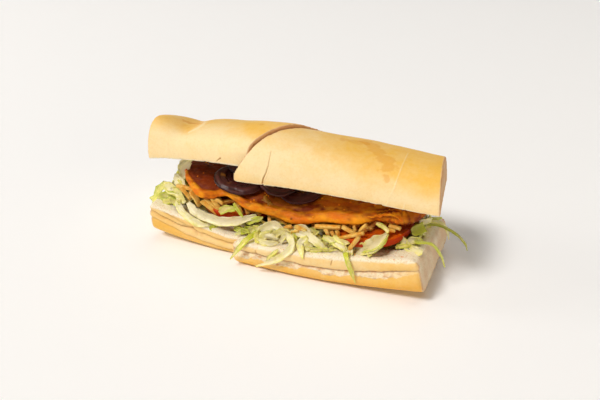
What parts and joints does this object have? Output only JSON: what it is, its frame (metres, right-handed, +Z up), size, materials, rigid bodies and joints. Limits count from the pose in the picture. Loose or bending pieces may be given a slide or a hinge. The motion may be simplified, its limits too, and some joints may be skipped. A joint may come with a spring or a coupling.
{
  "type": "fish sandwich",
  "caption": "Long soft white roll, split lengthwise and cut across on a slant, filled with fried fish, onion rings, tomato, shredded lettuce and potato sticks.",
  "frame": {"origin": "centre of the bounding box at the surface it stands on", "axes": "+X along the roll, +Y to the back, +Z up; the picture looks from the front right"},
  "size_m": [0.2426, 0.097, 0.0975],
  "materials": {
    "bread_crust": "soft pale baked crust with off-white crumb",
    "fried_batter": "thin fried coating, slightly oily",
    "cooked_onion": "dark browned onion, glossy with oil",
    "tomato_flesh": "moist cut tomato",
    "lettuce_leaf": "crisp shredded leaf, white ribs and green edges",
    "fried_potato": "dry fried potato sticks"
  },
  "bodies": {
    "root": {"bread_bottom_left": "bread_crust", "bread_bottom_right": "bread_crust", "bread_top_left": "bread_crust", "bread_top_right": "bread_crust", "fish_fillet": "fried_batter", "onion_ring_1": "cooked_onion", "onion_ring_2": "cooked_onion", "onion_ring_3": "cooked_onion", "onion_ring_4": "cooked_onion", "tomato_slice_1": "tomato_flesh", "tomato_slice_2": "tomato_flesh", "lettuce": "lettuce_leaf", "potato_sticks": "fried_potato"}
  },
  "joints": []
}
